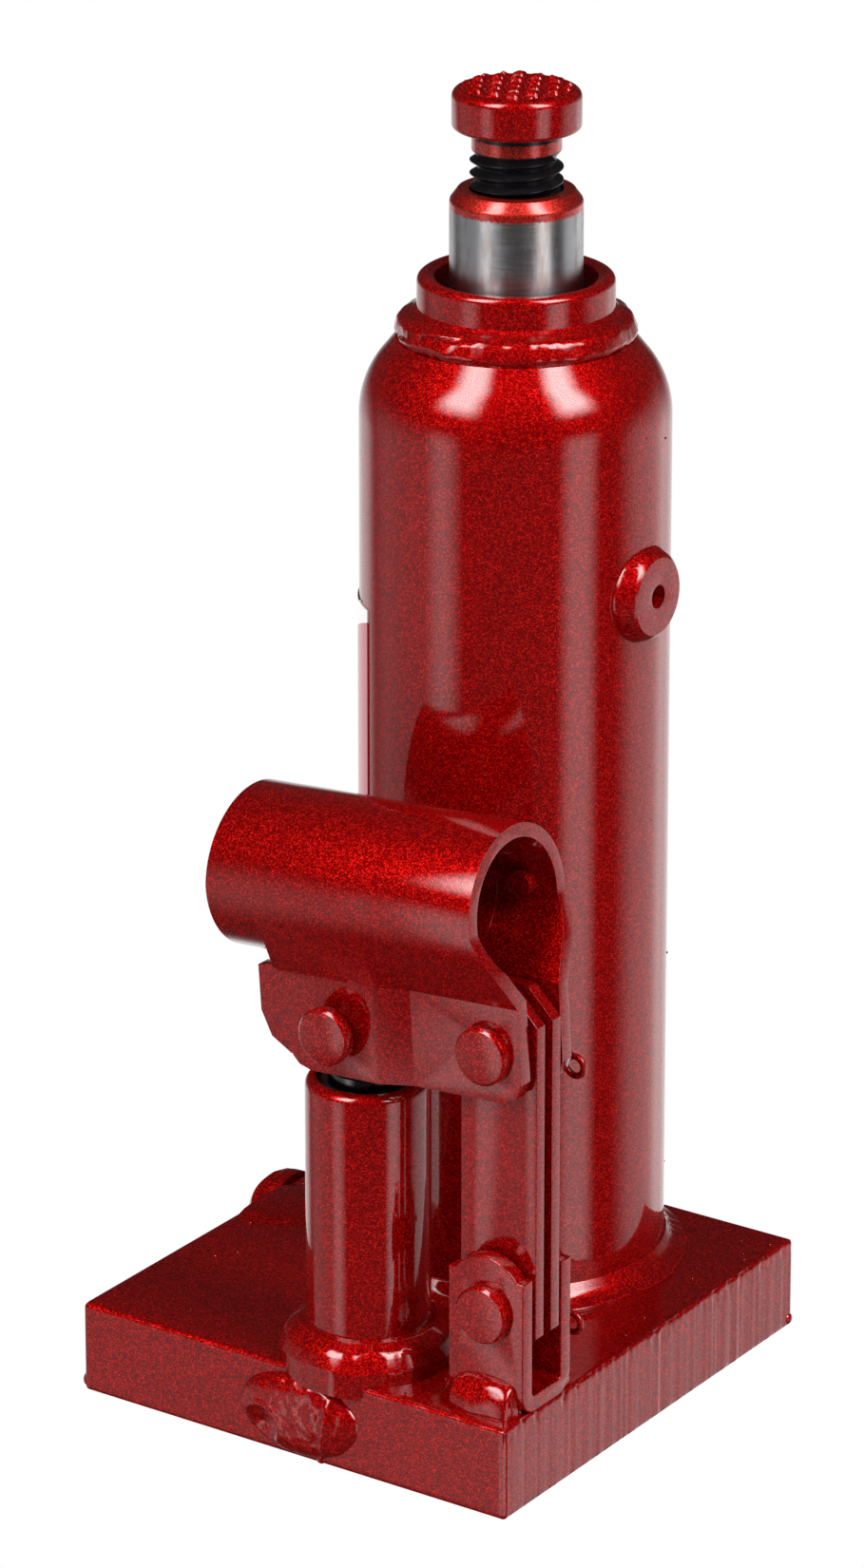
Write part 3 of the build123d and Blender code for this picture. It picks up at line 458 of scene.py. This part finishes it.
def plain_finish(name, colour, metallic, roughness, pitch, depth, spread=0.12, stretch=(1, 1, 1)):
    """A bare material whose shade and roughness wander with a noise of the given pitch in millimetres."""
    material, tree, out = new_material(name)
    place = add_node(tree, "ShaderNodeTexCoord").outputs["Object"]
    spot = add_node(tree, "ShaderNodeMapping", {"Scale": stretch}, {"Vector": place})
    grain = add_node(tree, "ShaderNodeTexNoise", {"Scale": 1 / (pitch * MM), "Detail": 4.0},
                     {"Vector": spot.outputs[0]})
    tone = add_node(tree, "ShaderNodeValToRGB", links={"Fac": grain.outputs[0]})
    base = linear(colour)
    tone.color_ramp.elements[0].position = 0.3
    tone.color_ramp.elements[1].position = 0.7
    tone.color_ramp.elements[0].color = tuple(c * (1 - spread) for c in base[:3]) + (1.0,)
    tone.color_ramp.elements[1].color = tuple(min(1.0, c * (1 + spread)) for c in base[:3]) + (1.0,)
    gloss = add_node(tree, "ShaderNodeMapRange", {"To Min": roughness * 0.8, "To Max": roughness * 1.25},
                     {"Value": grain.outputs[0]})
    bump = add_node(tree, "ShaderNodeBump", {"Strength": 0.4, "Distance": depth * MM},
                    {"Height": grain.outputs[0]})
    shade = add_node(tree, "ShaderNodeBsdfPrincipled", {"Metallic": metallic},
                     {"Base Color": tone.outputs[0], "Roughness": gloss.outputs[0],
                      "Normal": bump.outputs[0]})
    tree.links.new(shade.outputs[0], out.inputs["Surface"])
    return material


nitrile = plain_finish("moulded_nitrile_rubber", "#1d1b1b", 0.0, 0.62, 0.5, 0.02)
bronze = plain_finish("turned_bronze", "#8f6a3c", 1.0, 0.33, 0.3, 0.01, stretch=(0.1, 0.1, 1))
black_oxide = plain_finish("black_oxide_steel", "#262326", 0.55, 0.30, 0.4, 0.01, spread=0.3)
bearing_steel = plain_finish("polished_bearing_steel", "#b9b9bd", 1.0, 0.14, 0.6, 0.004)
spring_steel = plain_finish("oiled_spring_steel", "#6d6c6f", 1.0, 0.3, 0.4, 0.006)
copper = plain_finish("annealed_copper", "#a45f3f", 1.0, 0.36, 0.7, 0.01)
for node, material in (("ram_guide_bush", bronze), ("ram_wiper_seal", nitrile), ("cylinder_gasket", copper),
                       ("wiper_retaining_clip", black_oxide), ("piston_seal", nitrile),
                       ("pump_gasket", copper), ("pump_gland_seal", nitrile), ("plunger_seal", nitrile),
                       ("release_valve_oring", nitrile),
                       ("release_valve_ball", bearing_steel), ("suction_ball", bearing_steel),
                       ("delivery_ball", bearing_steel), ("suction_spring", spring_steel),
                       ("delivery_spring", spring_steel), ("suction_spring_bush", bearing_steel),
                       ("delivery_seat_bush", bearing_steel), ("suction_strainer", bronze),
                       ("screw_stop_ring", black_oxide)):
    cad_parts[node].data.materials.clear()
    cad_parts[node].data.materials.append(material)


# ------------------------------------------------------------------------------------ ram and piston
# Centreless-ground bright bar. Its end carries a dusting of the red lacquer, because the jack was
# sprayed with the ram down, and the bare length has faint ground rings and a brown tide mark.

def overspray(name, bare, stained, metallic, roughness, grain, edge_z, soft, edge_noise, bare_z=None):
    """Bare steel below a ragged line at height edge_z and red lacquer above it, as far as bare_z if given.

    Heights are in millimetres. The steel's roughness is stretched along the axis by grain, nought to one.
    """
    material, tree, out = new_material(name)
    place = add_node(tree, "ShaderNodeTexCoord").outputs["Object"]
    spread = add_node(tree, "ShaderNodeSeparateXYZ", links={0: place})
    rings = add_node(tree, "ShaderNodeMapping", {"Scale": (0.04, 0.04, 1)}, {"Vector": place})
    grind = add_node(tree, "ShaderNodeTexNoise", {"Scale": 1 / (0.22 * MM), "Detail": 3.0},
                     {"Vector": rings.outputs[0]})
    runs = add_node(tree, "ShaderNodeMapping", {"Scale": (1, 1, 0.22)}, {"Vector": place})
    stain = add_node(tree, "ShaderNodeTexNoise", {"Scale": 1 / (3.2 * MM), "Detail": 5.0, "Roughness": 0.65},
                     {"Vector": runs.outputs[0]})
    tone = add_node(tree, "ShaderNodeValToRGB", links={"Fac": stain.outputs[0]})
    tone.color_ramp.elements[0].position = 0.5
    tone.color_ramp.elements[0].color = linear(bare)
    tone.color_ramp.elements[1].position = 0.78
    tone.color_ramp.elements[1].color = linear(stained)
    bump = add_node(tree, "ShaderNodeBump", {"Strength": 0.2, "Distance": 0.004 * MM},
                    {"Height": grind.outputs[0]})
    gloss = add_node(tree, "ShaderNodeMapRange", {"To Min": roughness * 0.75, "To Max": roughness * 1.3},
                     {"Value": grind.outputs[0]})
    round_about = add_node(tree, "ShaderNodeTangent", direction_type="RADIAL", axis="Z")
    steel = add_node(tree, "ShaderNodeBsdfPrincipled",
                     {"Metallic": metallic, "Anisotropic": grain, "Anisotropic Rotation": 0.25},
                     {"Base Color": tone.outputs[0], "Roughness": gloss.outputs[0], "Normal": bump.outputs[0],
                      "Tangent": round_about.outputs[0]})
    flakes = add_node(tree, "ShaderNodeTexVoronoi", {"Scale": 1 / (FLAKE * MM)}, {"Vector": place})
    shade = add_node(tree, "ShaderNodeSeparateColor", links={0: flakes.outputs["Color"]})
    glint = add_node(tree, "ShaderNodeValToRGB", links={"Fac": shade.outputs["Red"]})
    glint.color_ramp.elements[0].color = linear("#6a0508")
    glint.color_ramp.elements[1].color = linear("#e2301f")
    paint = add_node(tree, "ShaderNodeBsdfPrincipled",
                     {"Metallic": 0.8, "Roughness": 0.42, "Coat Weight": 0.8, "Coat Roughness": 0.12},
                     {"Base Color": glint.outputs[0]})
    dust = add_node(tree, "ShaderNodeTexNoise",
                    {"Scale": 1 / (edge_noise * MM), "Detail": 6.0, "Roughness": 0.7}, {"Vector": place})
    drift = add_node(tree, "ShaderNodeMath", {1: 3.2 * soft * MM}, {0: dust.outputs[0]}, operation="MULTIPLY")
    level = add_node(tree, "ShaderNodeMath", None, {0: spread.outputs["Z"], 1: drift.outputs[0]},
                     operation="ADD")
    cover = add_node(tree, "ShaderNodeMapRange",
                     {"From Min": (edge_z + 1.1 * soft) * MM, "From Max": (edge_z + 2.1 * soft) * MM},
                     {"Value": level.outputs[0]})
    covered = cover.outputs[0]
    if bare_z:
        shielded = add_node(tree, "ShaderNodeMapRange",
                            {"From Min": (bare_z + 2.1 * soft) * MM, "From Max": (bare_z + 1.1 * soft) * MM},
                            {"Value": level.outputs[0]})
        covered = add_node(tree, "ShaderNodeMath", None, {0: covered, 1: shielded.outputs[0]},
                           operation="MULTIPLY").outputs[0]
    both = add_node(tree, "ShaderNodeMixShader", None,
                    {0: covered, 1: steel.outputs[0], 2: paint.outputs[0]})
    tree.links.new(both.outputs[0], out.inputs["Surface"])
    return material


ram_low, ram_high = node_box("ram")
RAM_TOP = ram_high.z
RAM = ram_high.x
RAM_HOLLOW, RAM_THREAD, THREAD_DEPTH, RAM_BAND = 7.9, 7.06, 13.8, 100
ground_bar = overspray("ground_bright_steel", "#b9b9bc", "#8c6b57", 1.0, 0.32, 0.8, RAM_TOP - 2.9, 0.35, 0.5)
ram = turned(soft_outline([
    (RAM_HOLLOW, ram_low.z), (RAM, ram_low.z, 0.4), (RAM, RAM_BAND), (RAM, RAM_TOP - 1.7, 1.2),
    (8.7, RAM_TOP, 0.4), (RAM_THREAD, RAM_TOP), (RAM_THREAD, RAM_TOP - THREAD_DEPTH),
    (RAM_HOLLOW, RAM_TOP - THREAD_DEPTH), (RAM_HOLLOW, ram_low.z)], parts=6)[:-1], steps=140)
add_piece(ram, "ground_ram", ground_bar, "ram_body", "ram", slot="ground_steel", smooth=40)
piston_steel = plain_finish("turned_steel", "#98989b", 1.0, 0.28, 0.3, 0.006, stretch=(0.1, 0.1, 1))
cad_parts["piston_head"].data.materials.clear()
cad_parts["piston_head"].data.materials.append(piston_steel)


# --------------------------------------------------------------------------- extension screw and saddle
# One turned and cold-rolled piece, M14 x 2, blackened. The saddle's top is pressed into staggered lumps
# that grip, and the lacquer covers the saddle and dusts the plain neck under it.

screw_low, screw_high = node_box("extension_screw")
PITCH, CREST, ROOT = 2.0, 7.0, 5.85
LUMP = 0.9
SADDLE_TOP, SADDLE_R = screw_high.z - LUMP, screw_high.x
NECK_Z, SADDLE_Z = SADDLE_TOP - 9.1, SADDLE_TOP - 6.3
turns = int((NECK_Z - 0.2 - (screw_low.z + 4.2)) / PITCH)
thread = bmesh.new()
tooth = [(ROOT, 0.0), (ROOT, 0.22), (CREST - 0.18, 0.80), (CREST, 0.93),
         (CREST, 1.07), (CREST - 0.18, 1.20), (ROOT, 1.78), (ROOT, PITCH)]
start = screw_low.z + 4.2
rings = [thread.verts.new((r, 0, start + z)) for r, z in tooth]
lines = [thread.edges.new(pair) for pair in zip(rings, rings[1:])]
STEPS = 56
bmesh.ops.spin(thread, geom=rings + lines, cent=(0, 0, 0), axis=(0, 0, 1), dvec=(0, 0, PITCH / STEPS),
               angle=2 * pi * turns, steps=STEPS * turns)
bmesh.ops.remove_doubles(thread, verts=thread.verts, dist=0.002)
bmesh.ops.recalc_face_normals(thread, faces=thread.faces)
tip = screw_low.z
core = turned(soft_outline([
    (0, tip), (6.2, tip), (7.0, tip + 0.9), (7.0, tip + 2), (6.2, tip + 2), (6.2, tip + 3.6),
    (6.9, tip + 3.6), (6.9, tip + 4.5), (ROOT + 0.03, tip + 5.3), (ROOT + 0.03, NECK_Z - 1.4),
    (6.75, NECK_Z - 0.3, 0.3), (6.7, SADDLE_Z + 0.3), (0, SADDLE_Z + 0.3)]), closed=False, steps=96)
core_data = bpy.data.meshes.new("core")
core.to_mesh(core_data)
core.free()
thread.from_mesh(core_data)
bpy.data.meshes.remove(core_data)
neck_finish = overspray("black_oxide_thread", "#1d1b1e", "#3a3433", 0.6, 0.26, 0.0, NECK_Z - 0.2, 0.2, 0.7,
                        bare_z=NECK_Z + 1.6)
add_piece(thread, "rolled_thread", neck_finish, "screw_body", "extension_screw", slot="black_oxide_steel",
          smooth=50)

saddle = turned(soft_outline([
    (0, SADDLE_Z), (SADDLE_R, SADDLE_Z, 0.8), (SADDLE_R, SADDLE_TOP - 0.1, 1.4), (0, SADDLE_TOP)],
    parts=8), closed=False, steps=120)
flat_top = [f for f in saddle.faces if f.calc_center_median().z > SADDLE_TOP - 0.14]
bmesh.ops.delete(saddle, geom=flat_top, context="FACES")
top = bmesh.new()
bmesh.ops.create_grid(top, x_segments=110, y_segments=110, size=1.0)
LUMP_PITCH = 3.3
for v in top.verts:
    a, b = v.co.x, v.co.y
    u, w = a * sqrt(1 - b * b / 2), b * sqrt(1 - a * a / 2)
    x, y = u * (SADDLE_R - 1.2), w * (SADDLE_R - 1.2)
    away = sqrt(u * u + w * w)
    row = floor(y / LUMP_PITCH * 1.15 + 0.5)
    shift = 0.5 * (row % 2)
    along = (x / LUMP_PITCH + shift) - floor(x / LUMP_PITCH + shift + 0.5)
    across = (y / LUMP_PITCH * 1.15) - row
    bend = 0.6 * rough(x, y, 1.0, 2.0)
    high = 1 / (1 + exp((max(abs(along), abs(across) * 1.1) - 0.30 + 0.06 * bend) * 26))
    fall = 1 / (1 + exp((away - 0.96) * 60))
    v.co = Vector((x, y, SADDLE_TOP - 0.1 - 0.3 * (1 - high) * fall
                   + LUMP * high * fall * (0.85 + 0.25 * bend)))
top_data = bpy.data.meshes.new("top")
top.to_mesh(top_data)
top.free()
saddle.from_mesh(top_data)
bpy.data.meshes.remove(top_data)
add_piece(saddle, "waffle_saddle", red_paint, "screw_body", "extension_screw", slot="metallic_red_paint",
          smooth=50)


# -------------------------------------------------------------------------------------------- pump
# A length of thick tube stands in the base on a fat hand-laid weld that runs over the front edge. The
# hardened plunger slides in it, wet with oil, through a black gland seal.

pump_low, pump_high = node_box("pump_cylinder")
PUMP = Vector(((pump_low.x + pump_high.x) / 2, (pump_low.y + pump_high.y) / 2))
PUMP_R, PUMP_TOP = (pump_high.x - pump_low.x) / 2, pump_high.z
pump = turned(soft_outline([
    (6.05, pump_low.z), (PUMP_R, pump_low.z), (PUMP_R, 30), (PUMP_R, PUMP_TOP, 1.5), (7.6, PUMP_TOP, 0.35),
    (7.6, PUMP_TOP - 3.6), (6.05, PUMP_TOP - 3.6), (6.05, pump_low.z)])[:-1], centre=PUMP, steps=120)
add_piece(pump, "painted_pump_cylinder", red_paint, "jack_body", "pump_cylinder", smooth=40)

collar_low, collar_high = node_box("pump_cylinder_weld")
PUMP_TOE = (collar_high.x - collar_low.x) / 2
pump_weld = turned(soft_outline([
    (PUMP_R - 0.3, PLATE_TOP - 0.3), (PUMP_TOE - 0.1, PLATE_TOP - 0.3),
    (PUMP_TOE - 0.1, PLATE_TOP + 2.0, 1.2), (12.3, PLATE_TOP + 4.6, 2.6), (10.4, PLATE_TOP + 5.7, 0.8),
    (PUMP_R - 0.2, PLATE_TOP + 6.0)], parts=8), centre=PUMP, steps=220)
for v in pump_weld.verts:
    dx, dy = v.co.x - PUMP.x, v.co.y - PUMP.y
    bearing = atan2(dy, dx)
    out = min(1.0, max(0.0, (sqrt(dx * dx + dy * dy) - PUMP_R) / 2.0))
    wave = 0.45 * rough(cos(bearing) * 5, sin(bearing) * 5, v.co.z * 0.3, 2.2)
    wave += 0.16 * rough(cos(bearing) * 14, sin(bearing) * 14, v.co.z, 1.6)
    scale_out = 1 + (wave - 0.35) * out / PUMP_TOE
    v.co.x, v.co.y = PUMP.x + dx * scale_out, PUMP.y + dy * scale_out
    v.co.z += 0.5 * rough(cos(bearing) * 6, sin(bearing) * 6, 3.0, 2.4) * out
    over = plate_low.y - v.co.y
    if over > -0.6 and v.co.z < PLATE_TOP + 2:
        v.co.z -= 1.6 * min(1.0, over + 0.6) * (1 - max(0.0, v.co.z - PLATE_TOP) / 2)
add_piece(pump_weld, "pump_foot_weld", red_paint, "jack_body", "pump_cylinder_weld", smooth=60)


def rounded_copy(node, width, segments=3, sharp=28.0):
    """A CAD node's mesh, merged, with its flats made whole and its sharp edges rounded by the given width."""
    shape = bmesh.new()
    shape.from_mesh(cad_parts[node].data)
    bmesh.ops.transform(shape, matrix=Matrix.Scale(1 / MM, 4), verts=shape.verts)
    bmesh.ops.remove_doubles(shape, verts=shape.verts, dist=0.002)
    bmesh.ops.dissolve_limit(shape, angle_limit=radians(0.6), verts=shape.verts, edges=shape.edges)
    edges = [e for e in shape.edges if len(e.link_faces) == 2 and degrees(e.calc_face_angle(0)) > sharp]
    bmesh.ops.bevel(shape, geom=edges, affect="EDGES", offset=width, segments=segments, profile=0.5,
                    material=-1, clamp_overlap=True, loop_slide=True)
    bmesh.ops.remove_doubles(shape, verts=shape.verts, dist=0.002)
    return shape


plunger_steel = plain_finish("oiled_hardened_steel", "#57565a", 1.0, 0.2, 0.4, 0.004)
add_piece(rounded_copy("pump_plunger", 0.3), "hardened_plunger", plunger_steel, "plunger_body",
          "pump_plunger", slot="ground_steel", smooth=35)


# ------------------------------------------------------------------------------- handle socket and links
# The socket is one blank of 2.4 mm sheet rolled round a mandrel, with its two flanges pinched to take the
# plunger's eye at one end and the pair of links at the other. The lacquer rounds every sheared edge.

add_piece(rounded_copy("handle_socket", 0.55), "rolled_handle_socket", red_paint, "lever_body",
          "handle_socket", smooth=35)
for node in ("near_link", "far_link"):
    add_piece(rounded_copy(node, 0.45), "painted_" + node, red_paint, "links_body", node, smooth=35)


# ------------------------------------------------------------------------------ link bracket and its weld
# A strap bent to a U that stands on the base in the front right corner, with a fat weld blob at each foot.

add_piece(rounded_copy("link_bracket", 0.5), "bent_link_bracket", red_paint, "jack_body", "link_bracket",
          smooth=35)

strap_low, strap_high = node_box("link_bracket")
run_low, run_high = node_box("bracket_weld")
strap_weld = bmesh.new()
for face, toe in ((strap_low.y, run_low.y), (strap_high.y, run_high.y)):
    run = bmesh.ops.create_icosphere(strap_weld, subdivisions=5, radius=1.0)
    for v in run["verts"]:
        x, y, z = v.co
        swell = 1 + 0.07 * rough(x, y * 0.6 + toe, z, 0.7) + 0.03 * rough(x, y, z + 5, 0.3)
        square = 1 / max(abs(x), sqrt(y * y + z * z)) ** 0.55
        v.co = Vector(((run_low.x + run_high.x) / 2 + x * square * swell * (run_high.x - run_low.x) * 0.46,
                       face + y * square * swell * abs(toe - face) * 0.86,
                       max(PLATE_TOP - 0.2,
                           PLATE_TOP + z * square * swell * (run_high.z - PLATE_TOP) * 0.86)))
add_piece(strap_weld, "bracket_foot_weld", red_paint, "jack_body", "bracket_weld", smooth=60)


# --------------------------------------------------------------------------------------- pins
# Headed steel pins, each kept by a split pin through its far end and painted with the rest. The plunger's
# pin has worked a little way out. On the real jack a bare black ring of shank shows behind its head; here the
# whole pin takes the lacquer.

pin_finish = candy_red("candy_red_lacquer_on_pins", bright="#dc2418")
for pin, body in (("bracket_pin", "jack_body"), ("link_pin", "lever_body"), ("plunger_pin", "lever_body")):
    add_piece(rounded_copy(pin, 0.4), "headed_" + pin, pin_finish, body, pin, smooth=35)
    split = pin.replace("_pin", "_split_pin")
    add_piece(rounded_copy(split, 0.12, 2), "bent_" + split, pin_finish, body, split, smooth=50)


# ----------------------------------------------------------------------- release valve, filler plug, label
# The valve's knob has two flats for the slotted end of the pump handle. The filler plug is a soft moulding
# pushed into the tube's wall. Both are painted over. The label is a printed film.

add_piece(rounded_copy("release_valve_screw", 0.35), "release_valve_knob", red_paint, "valve_body",
          "release_valve_screw", smooth=35)
add_piece(rounded_copy("oil_filler_plug", 0.3), "painted_filler_plug", red_paint, "filler_plug_body",
          "oil_filler_plug", smooth=35)

film, film_tree, film_out = new_material("printed_label_film")
film_place = add_node(film_tree, "ShaderNodeTexCoord").outputs["Object"]
film_xyz = add_node(film_tree, "ShaderNodeSeparateXYZ", links={0: film_place})
slant = add_node(film_tree, "ShaderNodeMath", {1: 0.55}, {0: film_xyz.outputs["Y"]}, operation="MULTIPLY")
rise = add_node(film_tree, "ShaderNodeMath", None, {0: film_xyz.outputs["Z"], 1: slant.outputs[0]},
                operation="ADD")
share = add_node(film_tree, "ShaderNodeMapRange", {"From Min": 60 * MM, "From Max": 125 * MM},
                 {"Value": rise.outputs[0]})
bands = add_node(film_tree, "ShaderNodeValToRGB", links={"Fac": share.outputs[0]})
bands.color_ramp.interpolation = "CONSTANT"
bands.color_ramp.elements[0].color = linear("#a8213a")
bands.color_ramp.elements[1].position = 0.74
bands.color_ramp.elements[1].color = linear("#e9e6e4")
top_band = bands.color_ramp.elements.new(0.80)
top_band.color = linear("#141214")
film_shade = add_node(film_tree, "ShaderNodeBsdfPrincipled", {"Roughness": 0.3, "Coat Weight": 0.5,
                                                              "Coat Roughness": 0.1},
                      {"Base Color": bands.outputs[0]})
film_tree.links.new(film_shade.outputs[0], film_out.inputs["Surface"])
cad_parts["label"].data.materials.clear()
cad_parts["label"].data.materials.append(film)
